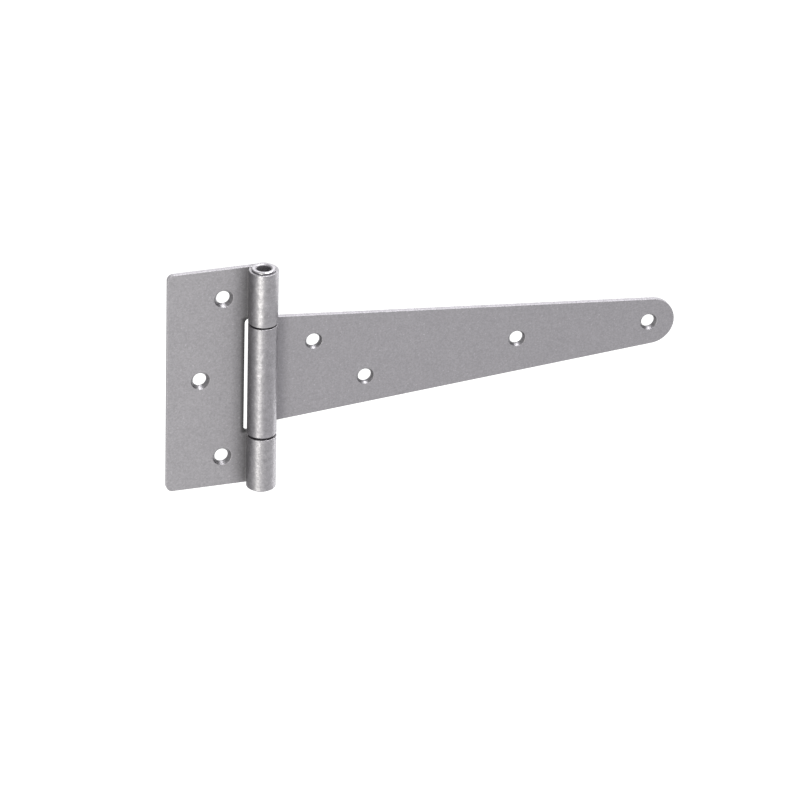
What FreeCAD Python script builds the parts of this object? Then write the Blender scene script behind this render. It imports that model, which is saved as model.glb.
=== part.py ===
import FreeCAD, Part
import math
import os

# Tee hinge: a cross leaf, a long tapered strap leaf and a hollow pin.
# The pin stands along Z through the origin, at half the height of the cross leaf.
# The strap runs along +X. Both backs lie in one plane on the +Y side, where the
# hinge is screwed down, and the knuckles stand proud on the -Y side.
# All sizes are in millimetres.

# Sheet and pin
sheet = 2.2                 # thickness of both leaves
pin_diameter = 7.8          # outside of the hollow pin
pin_bore = 6.0              # inside of the hollow pin
running_clearance = 0.05    # between the pin and the knuckles, on the radius
flare_diameter = 10.0       # each curled end of the pin
flare_height = 0.9          # how far a curled end stands above its knuckle
flare_slope = 0.25          # slope round the top of the curled rim
flare_seat = 8.9            # the curled end rests on its knuckle inside this diameter
lip_rise = 0.45             # gap under the edge of the lip, outside the seat

# Knuckles
middle_knuckle = 50.6       # length of the strap's knuckle
end_gap = 0.7               # between neighbouring knuckles
seam = 0.2                  # between the free end of a roll and the face of its sheet

# Cross leaf
leaf_height = 100.0
leaf_width = 39.4           # from the pin axis to the outer edge
leaf_corner = 2.7
notch_clearance = 0.4       # between the middle knuckle and the cut-out beside it
notch_corner = 2.2

# Strap leaf
strap_length = 179.8        # from the pin axis to the tip
lower_step = 2.5            # the blade's lower edge starts this far above the end of its knuckle
tip_radius = 10.3
shoulder_clearance = 0.85   # between the outer knuckles and the root of the blade

# Countersunk screw holes
screw_hole = 5.5
leaf_sink = 7.9             # cone at the front face of the cross leaf
strap_sink = 7.1            # cone at the front face of the strap
sink_depth = 1.6
edge_break = 0.2            # small slope left along the sheared edges

# Hole places: distance from the pin axis, and height above the middle of the leaf
leaf_outer_hole = 25.2      # the middle hole of the cross leaf
leaf_inner_hole = 15.6      # the upper and lower holes of the cross leaf
leaf_hole_spacing = 73.2
strap_first_hole = 23.0
strap_first_rise = 10.75
strap_second_hole = 45.5
strap_second_drop = 8.65
strap_hole_spacing = 57.6   # between the last two holes of the strap
tip_hole_inset = 11.2       # from the tip to the last hole

# Worked out from the values above
bore_radius = pin_diameter / 2 + running_clearance
outer_radius = bore_radius + sheet
front = bore_radius                     # y of the front face of both leaves
back = outer_radius                     # y of the back face of both leaves
half_height = leaf_height / 2
half_middle = middle_knuckle / 2
blade_offset = lower_step / 2           # height of the blade's centre line
beyond = 2 * outer_radius               # far enough out for a cutting tool
BACKWARD = FreeCAD.Vector(0, 1, 0)


def round_pin(radius, angle, height=0):
    """A point round the pin, the angle in radians from +X towards +Y."""
    return FreeCAD.Vector(radius * math.cos(angle), radius * math.sin(angle), height)


def line(*points):
    """Straight edges from each point to the next."""
    return [Part.LineSegment(a, b).toShape() for a, b in zip(points, points[1:])]


def arc(start, middle, end):
    return [Part.Arc(start, middle, end).toShape()]


def rolled_sheet(length, half_length, side):
    """A sheet that runs out to one side (+1 or -1) and is rolled into a long knuckle."""
    roll_start = math.pi / 2
    roll_end = 2 * math.pi + math.asin((front - seam) / outer_radius)
    turns = (roll_start, (roll_start + roll_end) / 2, roll_end)
    outside = [round_pin(outer_radius, angle, -half_length) for angle in turns]
    inside = [round_pin(bore_radius, angle, -half_length) for angle in reversed(turns)]
    far_front = FreeCAD.Vector(length, front, -half_length)
    far_back = FreeCAD.Vector(length, back, -half_length)
    edges = arc(*outside) + line(outside[-1], inside[0]) + arc(*inside)
    edges += line(inside[-1], far_front, far_back, outside[0])
    sheet_and_roll = Part.Face(Part.Wire(edges)).extrude(FreeCAD.Vector(0, 0, 2 * half_length))
    if side < 0:
        return sheet_and_roll.mirror(FreeCAD.Vector(0, 0, 0), FreeCAD.Vector(1, 0, 0))
    return sheet_and_roll


def through(edges, start=-beyond, stop=beyond):
    """The solid behind an outline drawn in the XZ plane, from one depth to another."""
    face = Part.Face(Part.Wire(edges))
    face.translate(BACKWARD * start)
    return face.extrude(BACKWARD * (stop - start))


def flat(x, z):
    """A point of an outline in the XZ plane."""
    return FreeCAD.Vector(x, 0, z)


def corner(x, z, radius, to_x, to_z):
    """A quarter round at (x, z). It leaves towards the signs to_x and to_z."""
    bend = radius * (1 - math.sqrt(0.5))
    return arc(
        flat(x + to_x * radius, z),
        flat(x + to_x * bend, z + to_z * bend),
        flat(x, z + to_z * radius),
    )


def cross_leaf_outline():
    """The blank of the cross leaf, with rounded outer corners."""
    left = -leaf_width
    right = beyond
    edges = line(flat(left + leaf_corner, -half_height), flat(right, -half_height))
    edges += line(flat(right, -half_height), flat(right, half_height))
    edges += line(flat(right, half_height), flat(left + leaf_corner, half_height))
    edges += corner(left, half_height, leaf_corner, 1, -1)
    edges += line(flat(left, half_height - leaf_corner), flat(left, leaf_corner - half_height))
    edges += corner(left, -half_height, leaf_corner, 1, 1)
    return Part.sortEdges(edges)[0]


def notch_outline():
    """The cut-out that the middle knuckle turns in."""
    left = -outer_radius - notch_clearance
    right = beyond
    reach = half_middle + end_gap
    edges = line(flat(left + notch_corner, -reach), flat(right, -reach))
    edges += line(flat(right, -reach), flat(right, reach))
    edges += line(flat(right, reach), flat(left + notch_corner, reach))
    edges += corner(left, reach, notch_corner, 1, -1)
    edges += line(flat(left, reach - notch_corner), flat(left, notch_corner - reach))
    edges += corner(left, -reach, notch_corner, 1, 1)
    return Part.sortEdges(edges)[0]


def between_knuckles(start, stop):
    """The room between the outer knuckles, from one depth to another."""
    reach = half_middle + end_gap
    size = (2 * beyond, stop - start, 2 * reach)
    return Part.makeBox(*size, FreeCAD.Vector(-beyond, start, -reach))


def strap_outline():
    """The blank of the strap: its knuckle, then the blade that tapers to a round tip.

    The upper edge of the blade starts level with the knuckle, the lower edge a step in.
    """
    shoulder = outer_radius + shoulder_clearance
    half_shoulder = half_middle - blade_offset
    reach = strap_length - tip_radius - shoulder
    taper = math.acos(tip_radius / math.hypot(half_shoulder, reach)) - math.atan2(reach, half_shoulder)
    touch_x = shoulder + reach + tip_radius * math.sin(taper)
    touch_z = tip_radius * math.cos(taper)
    edges = line(
        flat(touch_x, blade_offset + touch_z),
        flat(shoulder, half_middle),
        flat(-beyond, half_middle),
        flat(-beyond, -half_middle),
        flat(shoulder, -half_middle),
        flat(shoulder, lower_step - half_middle),
        flat(touch_x, blade_offset - touch_z),
    )
    edges += arc(
        flat(touch_x, blade_offset - touch_z),
        flat(strap_length, blade_offset),
        flat(touch_x, blade_offset + touch_z),
    )
    return edges


def countersunk_hole(x, z, sink):
    """A screw hole with its cone at the front face."""
    radius = screw_hole / 2
    hole = Part.makeCylinder(radius, 2 * beyond, FreeCAD.Vector(x, -beyond, z), BACKWARD)
    cone = Part.makeCone(sink / 2, radius, sink_depth, FreeCAD.Vector(x, front, z), BACKWARD)
    return hole.fuse(cone)


def break_edges(leaf):
    """Takes the sharpness off the sheared edges, on both faces and round the ends of the roll."""
    near = 1e-6
    sheared = []
    for edge in leaf.Edges:
        box = edge.BoundBox
        on_a_face = box.YLength < near and min(abs(box.YMin - front), abs(box.YMin - back)) < near
        where_roll_starts = box.XLength < near and abs(box.XMin) < near
        roll_end = box.ZLength < near and edge.Curve.TypeId == "Part::GeomCircle"
        if (on_a_face and not where_roll_starts) or roll_end:
            sheared.append(edge)
    return leaf.makeChamfer(edge_break, sheared)


def make_cross_leaf():
    leaf = rolled_sheet(leaf_width + beyond, half_height + beyond, -1)
    leaf = leaf.common(through(cross_leaf_outline()))
    notch = notch_outline()
    inside_seam = front - seam / 2
    leaf = leaf.cut(through(notch, inside_seam, beyond))
    leaf = leaf.cut(between_knuckles(-beyond, inside_seam))
    leaf = break_edges(leaf)
    rise = leaf_hole_spacing / 2
    leaf = leaf.cut(countersunk_hole(-leaf_outer_hole, 0, leaf_sink))
    for z in (rise, -rise):
        leaf = leaf.cut(countersunk_hole(-leaf_inner_hole, z, leaf_sink))
    return leaf


def make_strap_leaf():
    leaf = rolled_sheet(strap_length + beyond, half_height + beyond, 1)
    leaf = break_edges(leaf.common(through(strap_outline())))
    last_hole = strap_length - tip_hole_inset
    holes = (
        (strap_first_hole, strap_first_rise),
        (strap_second_hole, -strap_second_drop),
        (last_hole - strap_hole_spacing, 0),
        (last_hole, 0),
    )
    for x, rise in holes:
        leaf = leaf.cut(countersunk_hole(x, blade_offset + rise, strap_sink))
    return leaf


def make_hinge_pin():
    """A tube whose ends are curled outwards over the outer knuckles."""
    tube = pin_diameter / 2
    mouth = pin_bore / 2
    rim = flare_diameter / 2
    seat = flare_seat / 2
    top = half_height + flare_height
    curl = tube - mouth
    half_curl = curl * (1 - math.sqrt(0.5))
    section = arc(flat(mouth, top - curl), flat(mouth + half_curl, top - half_curl), flat(tube, top))
    section += line(
        flat(tube, top),
        flat(rim - flare_slope, top),
        flat(rim, top - flare_slope),
        flat(rim, half_height + lip_rise),
        flat(seat, half_height),
        flat(tube, half_height),
        flat(tube, 0),
        flat(mouth, 0),
        flat(mouth, top - curl),
    )
    upper = Part.Face(Part.Wire(section)).revolve(flat(0, 0), FreeCAD.Vector(0, 0, 1), 360)
    lower = upper.mirror(flat(0, 0), FreeCAD.Vector(0, 0, 1))
    return upper.fuse(lower).removeSplitter()


nodes = {
    "cross_leaf": make_cross_leaf(),
    "strap_leaf": make_strap_leaf(),
    "hinge_pin": make_hinge_pin(),
}
os.makedirs("parts", exist_ok=True)
for name, shape in nodes.items():
    solid = shape.Solids[0]
    solid.exportStep(os.path.join("parts", name + ".step"))
    box = solid.BoundBox
    print(name, "valid", solid.isValid(), "solids", len(shape.Solids), "volume %.1f" % solid.Volume,
          "x %.2f..%.2f y %.2f..%.2f z %.2f..%.2f" % (box.XMin, box.XMax, box.YMin, box.YMax, box.ZMin, box.ZMax))
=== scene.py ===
# %% [markdown]
# # A tee hinge in satin steel
# A tee hinge holds up a shed door or a gate. A short cross leaf is screwed to the post, and a long
# strap leaf, tapering to a round tip, is screwed to the door. Each leaf is one strip of steel sheet
# whose end is rolled round a hollow pin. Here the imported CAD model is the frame: it gives the sizes,
# the moving bodies and the place of each part, and the steel itself is modelled round it.

# %% Load the frame
import bmesh
import bpy
from math import asin, atan2, cos, degrees, hypot, pi, radians, sin
from mathutils import Matrix, Vector


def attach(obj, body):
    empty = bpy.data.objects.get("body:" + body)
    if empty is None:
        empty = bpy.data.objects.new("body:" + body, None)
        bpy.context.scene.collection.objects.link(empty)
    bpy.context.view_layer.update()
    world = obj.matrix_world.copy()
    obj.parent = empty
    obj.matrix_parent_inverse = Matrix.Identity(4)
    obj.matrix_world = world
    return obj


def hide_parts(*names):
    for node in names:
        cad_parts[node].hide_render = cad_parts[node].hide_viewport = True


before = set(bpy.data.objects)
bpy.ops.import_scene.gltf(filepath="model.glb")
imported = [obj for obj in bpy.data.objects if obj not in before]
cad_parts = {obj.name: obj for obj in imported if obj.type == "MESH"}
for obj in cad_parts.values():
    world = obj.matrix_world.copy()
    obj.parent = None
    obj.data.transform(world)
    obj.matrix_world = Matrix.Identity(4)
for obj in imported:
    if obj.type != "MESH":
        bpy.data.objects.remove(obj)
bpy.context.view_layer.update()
MM = 0.001


# %% [markdown]
# ## The camera
# The hinge was photographed from far away: its upright edges stay parallel, and the strap hardly
# shrinks towards the tip. So the camera stands three metres off with a long lens, a little to the
# left and well above, and it is turned by about one degree, as a camera held by hand is. It looks
# at a point just right of the knuckles, which puts the hinge where it lies in the picture.

# %% Set the camera up
# The lens and the film are measured in mm, and the camera sees as far as its sight, in metres.
AIM = Vector((61.1, 5.0, -21.4)) * MM
TOWARDS_CAMERA = Vector((-0.27005, -0.83790, 0.47434))
CAMERA_DISTANCE = 3094.5 * MM
CAMERA_LENS = 336.4
CAMERA_FILM = 36
CAMERA_SIGHT = 50
CAMERA_ROLL = radians(1.37)

bpy.ops.object.camera_add(location=AIM + TOWARDS_CAMERA * CAMERA_DISTANCE)
camera = bpy.context.object
camera.name = "camera"
camera.data.lens = CAMERA_LENS
camera.data.sensor_width = CAMERA_FILM
camera.data.clip_end = CAMERA_SIGHT
facing = TOWARDS_CAMERA.to_track_quat("Z", "Y").to_matrix().to_4x4()
camera.matrix_world = Matrix.Translation(camera.location) @ facing @ Matrix.Rotation(CAMERA_ROLL, 4, "Z")
bpy.context.scene.camera = camera
print("camera at", [round(value, 3) for value in camera.location], "lens", CAMERA_LENS)

# %% [markdown]
# ## Tools for working by hand in code
# In the window a face is picked with the mouse. Here it is picked by its place, so one helper
# selects the faces, edges or corners whose middle passes a test, given in millimetres, and all of
# them where no test is given. The others start a piece from an upright plane, slice it, join it to
# one face, round its corners and merge the points that lie on one another.

# %% Pick by place
SLACK = 0.02
SELECT_MODE = {"faces": "FACE", "edges": "EDGE", "verts": "VERT"}


def anywhere(x, y, z):
    """The test that every place passes."""
    return True


def near(value, target):
    """Tells whether a measure in mm is at its target."""
    return abs(value - target) < SLACK


def pick(kind, test=anywhere):
    """Selects, in edit mode, each face, edge or corner whose middle (x, y, z) in mm passes the test."""
    mesh = bmesh.from_edit_mesh(bpy.context.edit_object.data)
    bpy.ops.mesh.select_mode(type=SELECT_MODE[kind])
    bpy.ops.mesh.select_all(action="DESELECT")
    count = 0
    for item in getattr(mesh, kind):
        if kind == "faces":
            middle = item.calc_center_median()
        elif kind == "edges":
            middle = (item.verts[0].co + item.verts[1].co) / 2
        else:
            middle = item.co
        if test(*(middle / MM)):
            item.select_set(True)
            count += 1
    mesh.select_flush_mode()
    bmesh.update_edit_mesh(bpy.context.edit_object.data)
    return count


# %% Start a piece, cut it and close it
SAME_POINT = 1e-6


def upright_plane(name, left, right, low, high, depth):
    """Adds a plane that stands facing the viewer, between these places in mm, and opens it in edit mode."""
    bpy.ops.object.select_all(action="DESELECT")
    middle = Vector(((left + right) / 2, depth, (low + high) / 2)) * MM
    bpy.ops.mesh.primitive_plane_add(size=MM, location=middle, rotation=(radians(90), 0, 0))
    piece = bpy.context.object
    piece.name = name
    bpy.ops.object.transform_apply(location=True, rotation=True, scale=True)
    bpy.ops.object.mode_set(mode="EDIT")
    bpy.ops.transform.resize(value=(right - left, 1, high - low), center_override=middle)
    return piece


def slice_at(place, normal, test=anywhere, kind="faces"):
    """Cuts the faces or edges that pass the test along a plane through a place in mm."""
    pick(kind, test)
    bpy.ops.mesh.bisect(plane_co=Vector(place) * MM, plane_no=normal, threshold=SAME_POINT)


def join_faces():
    """Makes the faces of a flat outline one face."""
    pick("faces")
    bpy.ops.mesh.dissolve_faces()


def round_corners(radius, steps, test):
    """Rounds those corners of a flat outline that pass the test."""
    pick("verts", test)
    bpy.ops.mesh.bevel(affect="VERTICES", offset=radius * MM, segments=steps)


def weld():
    """Merges the points that lie on one another, and leaves everything selected."""
    bpy.ops.mesh.select_all(action="SELECT")
    bpy.ops.mesh.remove_doubles(threshold=SAME_POINT)


def apply_all(piece):
    """Applies every modifier of the piece, from the top one down."""
    for modifier in list(piece.modifiers):
        bpy.ops.object.modifier_apply(modifier=modifier.name)


# %% [markdown]
# ## The sheet and its screw holes
# Both leaves are cut from the same sheet, so they share one way of working. The front skin of the
# sheet is drawn flat. A boolean would cut the holes too, but it leaves long thin faces that shade
# badly. So a hole is opened by cutting out a square, splitting its sides and bridging them to a
# circle. The skin is thickened later, and only then is the back of each hole drawn in, which leaves
# the cone that the screw head sits in. The roll is the same skin spun round the pin, so the sheet
# runs into the knuckle in one piece. It stops just before its free end meets the sheet again.

# %% Sizes of the sheet
SHEET = 2.2
FRONT = 3.95
BACK = FRONT + SHEET
SEAM = 0.2
SCREW_HOLE = 5.7
TURN_STEPS = 96

# Three quarters of a turn, and on until the outer corner of the free end is a seam away from the sheet.
ROLL_TURN = 270 + degrees(asin((FRONT - SEAM) / BACK))
print("the sheet is rolled by", round(ROLL_TURN, 1), "degrees")

# %% Open a round hole in the front skin
RING_SIDES = 48
LIFT = 1.0


def open_hole(x, z, radius, half):
    """Opens a round hole at (x, z) in the flat skin, with a square ring of clean faces about it."""
    for side in (x - half, x + half):
        slice_at((side, 0, 0), (1, 0, 0))
    for side in (z - half, z + half):
        slice_at((0, 0, side), (0, 0, 1), lambda a, b, c: abs(a - x) < half)
    pick("faces", lambda a, b, c: near(a, x) and near(c, z))
    bpy.ops.mesh.delete(type="ONLY_FACE")

    def on_square(a, b, c):
        return near(max(abs(a - x), abs(c - z)), half)

    pick("edges", on_square)
    bpy.ops.mesh.subdivide(number_cuts=RING_SIDES // 4 - 1)
    place = Vector((x, FRONT + LIFT, z)) * MM
    bpy.ops.mesh.primitive_circle_add(
        vertices=RING_SIDES, radius=radius * MM, location=place, rotation=(radians(90), 0, 0)
    )
    picked = pick("edges", lambda a, b, c: on_square(a, b, c) or hypot(a - x, c - z) < radius + SLACK)
    bpy.ops.mesh.bridge_edge_loops()
    pick("verts", lambda a, b, c: near(b, FRONT + LIFT))
    bpy.ops.transform.translate(value=(0, -LIFT * MM, 0))
    print("hole at", (x, z), "bridged over", picked, "edges")


# %% Roll and thicken the sheet
def roll_knuckle(turn):
    """Spins the sheet's edge that stands over the pin round it, by the turn in degrees."""
    picked = pick("edges", lambda a, b, c: near(a, 0))
    print("edges over the pin:", picked)
    bpy.ops.mesh.spin(steps=TURN_STEPS, angle=radians(abs(turn)), center=(0, 0, 0),
                      axis=(0, 0, -1 if turn > 0 else 1))


def face_the_viewer(piece):
    """Makes all faces of the open skin agree, with the flat sheet facing the viewer."""
    bpy.ops.mesh.select_all(action="SELECT")
    bpy.ops.mesh.normals_make_consistent(inside=False)
    mesh = bmesh.from_edit_mesh(piece.data)
    largest = max(mesh.faces, key=lambda face: face.calc_area())
    if largest.normal.y > 0:
        bpy.ops.mesh.flip_normals()


def thicken(piece):
    """Gives the skin its thickness, away from the viewer and outwards round the pin."""
    bpy.ops.object.mode_set(mode="OBJECT")
    wall = piece.modifiers.new("wall", "SOLIDIFY")
    wall.thickness = SHEET * MM
    wall.offset = -1
    apply_all(piece)
    bpy.ops.object.mode_set(mode="EDIT")


# %% Sink the cones
def countersink(x, z, radius, depth):
    """Draws the back of a straight hole in to the screw's size, and leaves a cone of this depth in front."""
    cone_end = FRONT + depth

    def in_hole(a, b, c):
        return hypot(a - x, c - z) < radius + SLACK

    slice_at((0, cone_end, 0), (0, 1, 0), in_hole)
    pick("verts", lambda a, b, c: in_hole(a, b, c) and b > cone_end - SLACK)
    shrink = SCREW_HOLE / 2 / radius
    bpy.ops.transform.resize(value=(shrink, 1, shrink), center_override=Vector((x, cone_end, z)) * MM)


# %% Soften the edges
EDGE_ROUND = 0.2
EDGE_STEPS = 3
CUT_EDGE_ANGLE = radians(40)
SMOOTH_ANGLE = radians(35)
WEIGH_BY_AREA = 100


def soften(piece):
    """Rounds the cut edges a little and gives the flat faces flat shading across their whole size."""
    bpy.ops.mesh.select_all(action="SELECT")
    bpy.ops.mesh.normals_make_consistent(inside=False)
    bpy.ops.object.mode_set(mode="OBJECT")
    edges = piece.modifiers.new("edges", "BEVEL")
    edges.width = EDGE_ROUND * MM
    edges.segments = EDGE_STEPS
    edges.limit_method = "ANGLE"
    edges.angle_limit = CUT_EDGE_ANGLE
    edges.use_clamp_overlap = False
    apply_all(piece)
    bpy.ops.object.shade_smooth_by_angle(angle=SMOOTH_ANGLE)
    weights = piece.modifiers.new("weights", "WEIGHTED_NORMAL")
    weights.keep_sharp = True
    weights.weight = WEIGH_BY_AREA
    apply_all(piece)


# %% Put the steps of a leaf in order
def form_leaf(leaf, holes, sink, depth, half, turn):
    """Takes a flat outline through all that makes it a leaf, from its open holes to its soft edges."""
    for hole_x, hole_z in holes:
        open_hole(hole_x, hole_z, sink, half)
    roll_knuckle(turn)
    weld()
    face_the_viewer(leaf)
    thicken(leaf)
    for hole_x, hole_z in holes:
        countersink(hole_x, hole_z, sink, depth)
    soften(leaf)
    print(leaf.name, "has", len(leaf.data.polygons), "faces")


# %% [markdown]
# ## The cross leaf
# The short leaf is a plate with two rounded outer corners, three countersunk holes and a notch for
# the middle knuckle, with the two outer knuckles rolled from its right-hand edge. It starts as one
# plane: the notch is sliced out, the corners are rounded, the holes are opened, and the two edges
# that are left over the pin are spun round it. Knuckles made as pieces of their own would show a
# line where they join the plate, and a rolled sheet has none.

# %% Model the cross leaf
LEAF_WIDTH = 39.4
HALF_HEIGHT = 50.0
NOTCH_EDGE = -6.55
NOTCH_HALF = 26.1
LEAF_CORNER = 2.7
NOTCH_CORNER = 1.9
LEAF_HOLES = [(-15.6, 36.6), (-25.2, 0.0), (-15.6, -36.6)]
LEAF_SINK = 4.0
LEAF_SINK_DEPTH = 1.5
LEAF_RING_HALF = 4.7

cross = upright_plane("cross_leaf_steel", -LEAF_WIDTH, 0, -HALF_HEIGHT, HALF_HEIGHT, FRONT)
slice_at((NOTCH_EDGE, 0, 0), (1, 0, 0))
for level in (-NOTCH_HALF, NOTCH_HALF):
    slice_at((0, 0, level), (0, 0, 1), lambda a, b, c: a > NOTCH_EDGE)
pick("faces", lambda a, b, c: a > NOTCH_EDGE and near(c, 0))
bpy.ops.mesh.delete(type="FACE")
join_faces()
round_corners(LEAF_CORNER, steps=8, test=lambda a, b, c: near(a, -LEAF_WIDTH))
round_corners(NOTCH_CORNER, steps=6, test=lambda a, b, c: near(a, NOTCH_EDGE) and near(abs(c), NOTCH_HALF))
form_leaf(cross, LEAF_HOLES, LEAF_SINK, LEAF_SINK_DEPTH, LEAF_RING_HALF, -ROLL_TURN)

# %% [markdown]
# ## The strap leaf
# The long leaf carries the middle knuckle. Just past it the blade starts with a small step at its
# lower edge, and then both edges run in to a round tip. The blade is extruded from the tab behind
# the knuckle and drawn in to the width where its edges meet the tip's circle, and one corner is
# spun round that circle's middle, which gives a true arc that runs smoothly into both edges.

# %% Model the strap leaf
KNUCKLE_HALF = 25.3
KNUCKLE_FOOT = -25.1
SHOULDER = 7.0
BLADE_MIDDLE = 1.25
BLADE_HALF = KNUCKLE_HALF - BLADE_MIDDLE
TIP_RADIUS = 10.3
TIP_X = 169.5
TIP_STEPS = 56
STRAP_HOLES = [(23.0, 12.0), (45.5, -7.4), (111.0, 1.25), (168.6, 1.25)]
STRAP_SINK = 3.65
STRAP_SINK_DEPTH = 1.05
STRAP_RING_HALF = 5.2

run = TIP_X - SHOULDER
taper = atan2(BLADE_HALF, run) - asin(TIP_RADIUS / hypot(run, BLADE_HALF))
meet_x = TIP_X + TIP_RADIUS * sin(taper)
meet_half = TIP_RADIUS * cos(taper)
print("each edge of the blade tapers by", round(degrees(taper), 2), "degrees")

strap = upright_plane("strap_leaf_steel", 0, SHOULDER, KNUCKLE_FOOT, KNUCKLE_HALF, FRONT)
slice_at((0, 0, BLADE_MIDDLE - BLADE_HALF), (0, 0, 1))
pick("edges", lambda a, b, c: near(a, SHOULDER) and near(c, BLADE_MIDDLE))
bpy.ops.mesh.extrude_region_move(TRANSFORM_OT_translate={"value": ((meet_x - SHOULDER) * MM, 0, 0)})
bpy.ops.transform.resize(value=(1, 1, meet_half / BLADE_HALF),
                         center_override=Vector((meet_x, FRONT, BLADE_MIDDLE)) * MM)
pick("verts", lambda a, b, c: near(a, meet_x) and c > BLADE_MIDDLE)
bpy.ops.mesh.spin(steps=TIP_STEPS, angle=pi - 2 * taper, axis=(0, -1, 0),
                  center=Vector((TIP_X, FRONT, BLADE_MIDDLE)) * MM)
weld()
pick("edges", lambda a, b, c: a > meet_x - SLACK)
bpy.ops.mesh.edge_face_add()
join_faces()
form_leaf(strap, STRAP_HOLES, STRAP_SINK, STRAP_SINK_DEPTH, STRAP_RING_HALF, ROLL_TURN)

# %% [markdown]
# ## The hinge pin
# The pin is a steel tube pushed through the knuckles, and each end is pressed outwards into a small
# rim that keeps it in. Half of its section is drawn as a flat shape: the tube's wall, with a rim
# extruded at each end, its lip lifted a little off the knuckle, and the mouths rounded. Its outline
# is then spun once round the axis, which makes bore, rim and round mouths in one turn.

# %% Draw the pin's section
BORE = 3.0
PIN = 3.9
RIM = 5.0
RIM_HEIGHT = 0.9
RIM_SEAT = 4.7
RIM_CORNER = 0.4
LIP_RISE = 0.25
MOUTH_ROUND = 0.88
PIN_END = HALF_HEIGHT + RIM_HEIGHT

pin = upright_plane("hinge_pin_steel", BORE, PIN, -PIN_END, PIN_END, 0)
for level in (-HALF_HEIGHT, HALF_HEIGHT):
    slice_at((0, 0, level), (0, 0, 1))
pick("edges", lambda a, b, c: near(a, PIN) and abs(c) > HALF_HEIGHT)
bpy.ops.mesh.extrude_region_move(TRANSFORM_OT_translate={"value": ((RIM - PIN) * MM, 0, 0)})
join_faces()
under_lip = Vector(((PIN + RIM) / 2, 0, HALF_HEIGHT + LIP_RISE / 2))
for end in (1, -1):
    pick("verts", lambda a, b, c: near(a, RIM) and near(c, end * HALF_HEIGHT))
    bpy.ops.transform.translate(value=(0, 0, end * LIP_RISE * MM))
    slice_at((RIM_SEAT, 0, 0), (1, 0, 0), kind="edges",
             test=lambda a, b, c: near(a, under_lip.x) and near(c, end * under_lip.z))
    pick("verts", lambda a, b, c: near(a, RIM_SEAT) and c * end > 0)
    bpy.ops.transform.resize(value=(1, 1, 0), center_override=(0, 0, end * HALF_HEIGHT * MM))
round_corners(RIM_CORNER, steps=5, test=lambda a, b, c: near(a, RIM) and near(abs(c), PIN_END))
round_corners(MOUTH_ROUND, steps=8, test=lambda a, b, c: near(a, BORE) and near(abs(c), PIN_END))
print("the pin's section has", pick("verts"), "corners")

# %% Spin the pin
bpy.ops.mesh.delete(type="ONLY_FACE")
bpy.ops.mesh.select_all(action="SELECT")
bpy.ops.mesh.spin(steps=TURN_STEPS, angle=2 * pi, axis=(0, 0, 1), center=(0, 0, 0))
weld()
bpy.ops.mesh.normals_make_consistent(inside=False)
bpy.ops.object.mode_set(mode="OBJECT")
bpy.ops.object.shade_smooth_by_angle(angle=SMOOTH_ANGLE)
print(pin.name, "has", len(pin.data.polygons), "faces")

# %% [markdown]
# ## Put the pieces on the frame
# Each piece takes the place of its CAD node and moves with that node's body. The pin is held by the
# cross leaf, and the strap leaf turns on it.

# %% Ride and replace
for piece, node, body, slot in (
    (cross, "cross_leaf", "cross_leaf", "leaf_steel"),
    (strap, "strap_leaf", "strap_leaf", "strap_steel"),
    (pin, "hinge_pin", "cross_leaf", "pin_steel"),
):
    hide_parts(node)
    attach(piece, body)

# %% [markdown]
# ## Shader maths in Python
# A material is a network of small sums. Written as Python they read like the idea behind them, so a
# small class wraps a node's output and turns + - * / into Math nodes, and one method adds any
# other node from its type, its settings and the values or links of its sockets.

# %% Wrap the sockets
class Socket:
    """A node's output that can be used in sums."""

    def __init__(self, tree, socket):
        self.tree = tree
        self.socket = socket

    def sum(self, operation, *values, clamp=False):
        settings = {"operation": operation, "use_clamp": clamp}
        return self.tree.node("ShaderNodeMath", settings, dict(enumerate(values)))

    def __add__(self, other):
        return self.sum("ADD", self, other)

    def __radd__(self, other):
        return self.sum("ADD", other, self)

    def __sub__(self, other):
        return self.sum("SUBTRACT", self, other)

    def __rsub__(self, other):
        return self.sum("SUBTRACT", other, self)

    def __mul__(self, other):
        return self.sum("MULTIPLY", self, other)

    def __rmul__(self, other):
        return self.sum("MULTIPLY", other, self)

    def __truediv__(self, other):
        return self.sum("DIVIDE", self, other)

    def __abs__(self):
        return self.sum("ABSOLUTE", self)

    def power(self, exponent):
        return self.sum("POWER", self, exponent)

    def above(self, edge, soft):
        """Runs from 0 to 1 as the value rises through the edge, over a soft width."""
        return self.sum("MULTIPLY", (self - edge) / soft + 0.5, 1, clamp=True)

    def below(self, edge, soft):
        """Runs from 1 to 0 as the value rises through the edge, over a soft width."""
        return 1 - self.above(edge, soft)

    def within(self, edge, soft):
        """Runs from 1 to 0 as a length rises through the edge, with edge and soft width in mm."""
        return self.below(edge * MM, soft * MM)

    def swing(self, strength):
        """Turns a noise, which plays about one half, into one of this strength about nought."""
        return (self - 0.5) * strength


class Tree:
    """The node tree of one material or of the world."""

    def __init__(self, owner):
        owner.use_nodes = True
        self.nodes = owner.node_tree.nodes
        self.links = owner.node_tree.links
        self.nodes.clear()

    def node(self, kind, settings=None, sockets=None, output=0):
        """Adds a node, sets it up, then fills its sockets with values or links."""
        made = self.nodes.new(kind)
        for name, value in (settings or {}).items():
            setattr(made, name, value)
        for key, value in (sockets or {}).items():
            if isinstance(value, Socket):
                self.links.new(value.socket, made.inputs[key])
            else:
                made.inputs[key].default_value = value
        return Socket(self, made.outputs[output]) if len(made.outputs) else None
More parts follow.
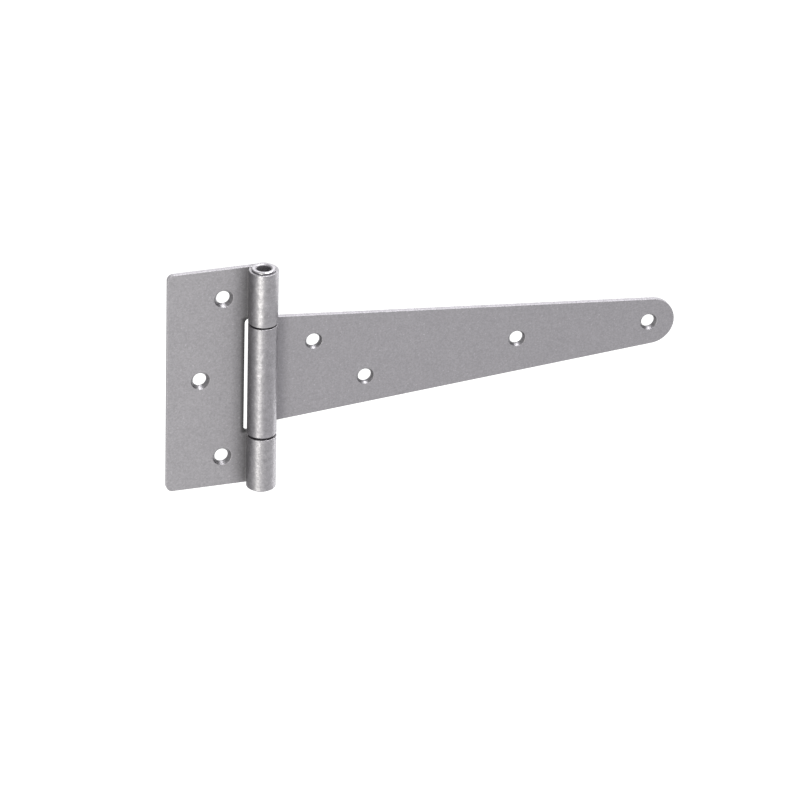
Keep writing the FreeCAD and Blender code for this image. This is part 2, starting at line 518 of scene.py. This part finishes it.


# %% [markdown]
# ## The marks of the work
# Each way of working the sheet leaves its own mark. They could be painted by hand, but each is found
# more truly by its place on the piece: the rolls lie close about the pin's axis, a cone close about
# its hole, and the sheared edges are what doesn't face the viewer. The places where shade is painted
# are found the same way: the front-left flank of the knuckles, the sheet beside the roll and the rim
# of the slot. A mark is a number that is 1 where it shows and runs softly to 0 about it.

# %% Find the marks by their place
# Where each mark ends and how softly, in mm from the pin's axis or along x, y or z.
ROLL_REACH = (6.6, 0.8)
BORE_REACH = (3.5, 0.4)
FRONT_REACH = (5.0, 1.0)
FLANK_REACH = (-4.5, 2.4)
BESIDE_ROLL_REACH = (9.5, 7.0)
SLOT_X = -6.2
SLOT_WIDTH = (1.6, 1.2)
SLOT_HEIGHT = (26.6, 1.0)
CONE_SOFT = 0.08

# A face is turned away where less than this share of its normal lies along an axis.
TURNED_AWAY = (0.6, 0.3)


class Marks:
    """How strongly each mark of the work, and each place of painted shade, shows, from 0 to 1."""

    def __init__(self, tree, holes, sink):
        place = tree.node("ShaderNodeTexCoord", output="Object")
        normal = tree.node("ShaderNodeTexCoord", output="Normal")
        x, y, z = (tree.node("ShaderNodeSeparateXYZ", sockets={0: place}, output=axis) for axis in "XYZ")
        facing = abs(tree.node("ShaderNodeSeparateXYZ", sockets={0: normal}, output="Y"))
        upright = abs(tree.node("ShaderNodeSeparateXYZ", sockets={0: normal}, output="Z"))

        from_axis = (x * x + y * y).power(0.5)
        self.rolled = from_axis.within(*ROLL_REACH)
        self.bored = from_axis.within(*BORE_REACH)
        self.cones = 0.0
        for hole_x, hole_z in holes:
            away_x = x - hole_x * MM
            away_z = z - hole_z * MM
            away = (away_x * away_x + away_z * away_z).power(0.5)
            self.cones = self.cones + away.within(sink - SLACK, CONE_SOFT)
        flat = 1 - self.rolled
        self.sheared = facing.below(*TURNED_AWAY) * flat * (1 - self.cones)
        front = y.within(*FRONT_REACH)
        # Painted shade on the front-left flank of the knuckles, next to the cross leaf.
        self.flank = self.rolled * front * x.within(*FLANK_REACH) * upright.below(*TURNED_AWAY)
        # Painted shade on the sheet's face in the corner beside the roll.
        self.beside_roll = front * from_axis.within(*BESIDE_ROLL_REACH) * flat * (1 - self.sheared)
        # Painted shade on the rim of the slot, heavier on its sheared wall.
        self.beside_slot = abs(x - SLOT_X * MM).within(*SLOT_WIDTH) * abs(z).within(*SLOT_HEIGHT) * flat


# %% [markdown]
# ## Satin steel
# The sheet is pickled and lightly plated: an even mid grey with a fine sandy grain and a few bright
# specks. It is metal, so it has no colour of its own but the tint of what it mirrors, and its
# roughness spreads that out to a satin sheen. The grain is a fine bump with a slight change of tone.
#
# The rolled part is burnished by the tool and slightly mottled. The drilled cones are smoother, and
# the sheared edges are brighter, with short marks across the sheet. Shade is painted in: the cones,
# the front-left flank of the knuckles, the sheet in the corner beside the roll and the rim of the
# slot are darkened, and the pin's pressed rim is polished.

# %% Name the strengths of the finish
# How much each mark changes the tone. The amounts for the cones, the knuckles' flank and the slot are painted
# shade.
GRAIN_TONE = 0.48
FINE_TONE = 0.24
CLOUD_TONE = 0.10
SPECK_TONE = 0.25
MOTTLE_TONE = 0.4
ROLL_SHADE = 0.08
SHEAR_SHINE = 0.16
SHEAR_MARK_TONE = 0.8
CONE_SHADE = 0.42
FLANK_SHADE = 0.45
SLOT_SHADE = 1.1

# How high each mark stands, beside the grain's own height of 1, and how much a smooth place lowers it.
FINE_HEIGHT = 0.5
SHEAR_HEIGHT = 1.4
DENT_HEIGHT = 9
CONE_SMOOTHING = 0.93
POLISH_SMOOTHING = 4
BUMP_STRENGTH = 0.4
BUMP_DEPTH = 0.06 * MM

# The roughness of the plain sheet, and what each mark adds to it or takes from it.
SHEET_ROUGHNESS = 0.63
ROLL_BURNISH = 0.16
CONE_BURNISH = 0.19
BORE_ROUGHNESS = 0.2
CLOUD_ROUGHNESS = 0.10


# %% Make the steel
def satin_steel(name, tint, holes=(), sink=0, dullness=0, polish=0, shift=(0, 0, 0)):
    """A satin steel of a linear tint, for a piece with these holes, with its grain moved by a shift."""
    material = bpy.data.materials.new(name)
    tree = Tree(material)
    marks = Marks(tree, holes, sink)
    place = tree.node("ShaderNodeTexCoord", output="Object")
    shifted = tree.node("ShaderNodeVectorMath", {"operation": "ADD"}, {0: place, 1: shift})

    def noise(scale, detail, stretch=(1, 1, 1)):
        drawn = tree.node("ShaderNodeVectorMath", {"operation": "MULTIPLY"}, {0: shifted, 1: stretch})
        return tree.node("ShaderNodeTexNoise", sockets={"Vector": drawn, "Scale": scale, "Detail": detail})

    grain = noise(scale=1400, detail=2)
    fine = noise(scale=3200, detail=1)
    cloud = noise(scale=90, detail=3)
    mottle = noise(scale=420, detail=3)
    dents = noise(scale=380, detail=2)
    specks = noise(scale=1000, detail=1).above(0.70, 0.06)
    shear_marks = noise(scale=1500, detail=2, stretch=(1, 0.12, 1))

    tone = 1 + grain.swing(GRAIN_TONE) + fine.swing(FINE_TONE) + cloud.swing(CLOUD_TONE) + specks * SPECK_TONE
    tone = tone + marks.rolled * (mottle.swing(MOTTLE_TONE) - ROLL_SHADE)
    tone = tone + marks.sheared * (SHEAR_SHINE + shear_marks.swing(SHEAR_MARK_TONE))
    # Painted shade darkens the front-left flank of the knuckles, the sheet beside the roll and the rim of the
    # slot.
    beside = marks.beside_roll + marks.beside_slot * (SLOT_SHADE + marks.sheared)
    dull = marks.flank * FLANK_SHADE + beside * dullness
    # The cones are darkened as painted shade in their hollow.
    tone = tone * (1 - dull) - marks.cones * CONE_SHADE + polish
    colour = tree.node("ShaderNodeVectorMath", {"operation": "SCALE"}, {0: tint, "Scale": tone})

    height = grain + fine * FINE_HEIGHT + marks.sheared * shear_marks * SHEAR_HEIGHT
    height = height + marks.rolled * dents * DENT_HEIGHT
    height = height * (1 - marks.cones * CONE_SMOOTHING) * (1 - polish * POLISH_SMOOTHING)
    bump = tree.node("ShaderNodeBump", sockets={
        "Strength": BUMP_STRENGTH, "Distance": BUMP_DEPTH, "Height": height})

    rough = SHEET_ROUGHNESS - marks.rolled * ROLL_BURNISH - polish - marks.cones * CONE_BURNISH
    rough = rough + marks.bored * BORE_ROUGHNESS + cloud.swing(CLOUD_ROUGHNESS)
    shader = tree.node("ShaderNodeBsdfPrincipled", sockets={
        "Base Color": colour, "Metallic": 1.0, "Roughness": rough, "Normal": bump})
    tree.node("ShaderNodeOutputMaterial", sockets={"Surface": shader})
    return material


# %% Dress the pieces
LEAF_TINT = (0.294, 0.286, 0.302)
STRAP_TINT = (0.274, 0.266, 0.283)

# Each leaf's amount of painted shade beside the roll and at the slot.
leaf_steel = satin_steel("leaf_satin_steel", LEAF_TINT, LEAF_HOLES, LEAF_SINK, dullness=0.38)
strap_steel = satin_steel("strap_satin_steel", STRAP_TINT, STRAP_HOLES, STRAP_SINK, dullness=0.18,
                          shift=(0.31, 0.217, 0))
pin_steel = satin_steel("pin_satin_steel", LEAF_TINT, polish=0.16, shift=(0.62, 0.434, 0))
for piece, material in ((cross, leaf_steel), (strap, strap_steel), (pin, pin_steel)):
    piece.data.materials.clear()
    piece.data.materials.append(material)
    print(piece.name, "wears", material.name, "of", len(material.node_tree.nodes), "nodes")

# %% [markdown]
# ## Floor, lights and world
# The picture shows the hinge alone on white. A pale floor lies well below it, so that its shadow
# falls softly and out of the way. Its faint glow shows only to the rays that see a surface, and adds
# no light to the steel. The world works the same way: white where it is seen or mirrored, and a plain
# level for everything else.
#
# A small soft lamp to the left draws the bright line down the knuckles, and a tall one far to the
# right keeps their other flank light. A long one overhead lights the upper edges and shines back
# from the lower part of each cone, and a wide one behind lights the back.

# %% Lay the floor
FLOOR_DROP = 1.25
FLOOR_SIZE = 30
FLOOR_COLOUR = (0.86, 0.86, 0.86, 1)
FLOOR_GLOW = 0.56
WHITE = (1, 1, 1, 1)


def shown_rays(tree):
    """Is 1 for the rays that show a surface: to the camera, mirrored or passed through."""
    rays = ("Is Camera Ray", "Is Glossy Ray", "Is Transmission Ray")
    return sum(tree.node("ShaderNodeLightPath", output=ray) for ray in rays)


bpy.ops.mesh.primitive_plane_add(size=FLOOR_SIZE, location=(0, 0, -HALF_HEIGHT * MM - FLOOR_DROP))
floor = bpy.context.object
floor.name = "floor"
floor_material = bpy.data.materials.new("pale_floor")
tree = Tree(floor_material)
matt = tree.node("ShaderNodeBsdfDiffuse", sockets={"Color": FLOOR_COLOUR})
strength = shown_rays(tree) * FLOOR_GLOW
glow = tree.node("ShaderNodeEmission", sockets={"Color": WHITE, "Strength": strength})
both = tree.node("ShaderNodeAddShader", sockets={0: matt, 1: glow})
tree.node("ShaderNodeOutputMaterial", sockets={"Surface": both})
floor.data.materials.append(floor_material)
print("floor", FLOOR_DROP, "m below the hinge")

# %% Hang the lamps
LAMP_AIM = Vector((0.05, 0, 0))


def soft_lamp(name, place, size, power, colour=(1, 1, 1)):
    """A soft lamp at a place in metres, as wide and high as its size, turned to the middle of the hinge."""
    bpy.ops.object.light_add(type="AREA", location=place)
    lamp = bpy.context.object
    lamp.name = name
    lamp.data.shape = "RECTANGLE"
    lamp.data.size, lamp.data.size_y = size
    lamp.data.energy = power
    lamp.data.color = colour
    lamp.rotation_euler = (LAMP_AIM - Vector(place)).to_track_quat("-Z", "Y").to_euler()
    print(name, "of", power, "watts at", place)


soft_lamp("key_lamp", (-0.63, -0.77, -0.2), size=(0.28, 0.45), power=6.6, colour=(1, 1, 0.91))
soft_lamp("side_lamp", (1.6, 0.36, -0.25), size=(0.6, 1.5), power=10)
soft_lamp("top_lamp", (0.52, -0.26, 1.38), size=(1.4, 0.5), power=46)
soft_lamp("back_lamp", (0.6, 1.5, 1.1), size=(1.6, 0.8), power=8)

# %% Light the world
SURROUND_LIGHT = 0.55

world = bpy.data.worlds.new("white_surround")
bpy.context.scene.world = world
tree = Tree(world)
strength = SURROUND_LIGHT + shown_rays(tree) * (1 - SURROUND_LIGHT)
light = tree.node("ShaderNodeBackground", sockets={"Color": WHITE, "Strength": strength})
tree.node("ShaderNodeOutputWorld", sockets={"Surface": light})
bpy.context.scene.view_settings.view_transform = "Standard"
print("the world lights the steel with", SURROUND_LIGHT, "of white")
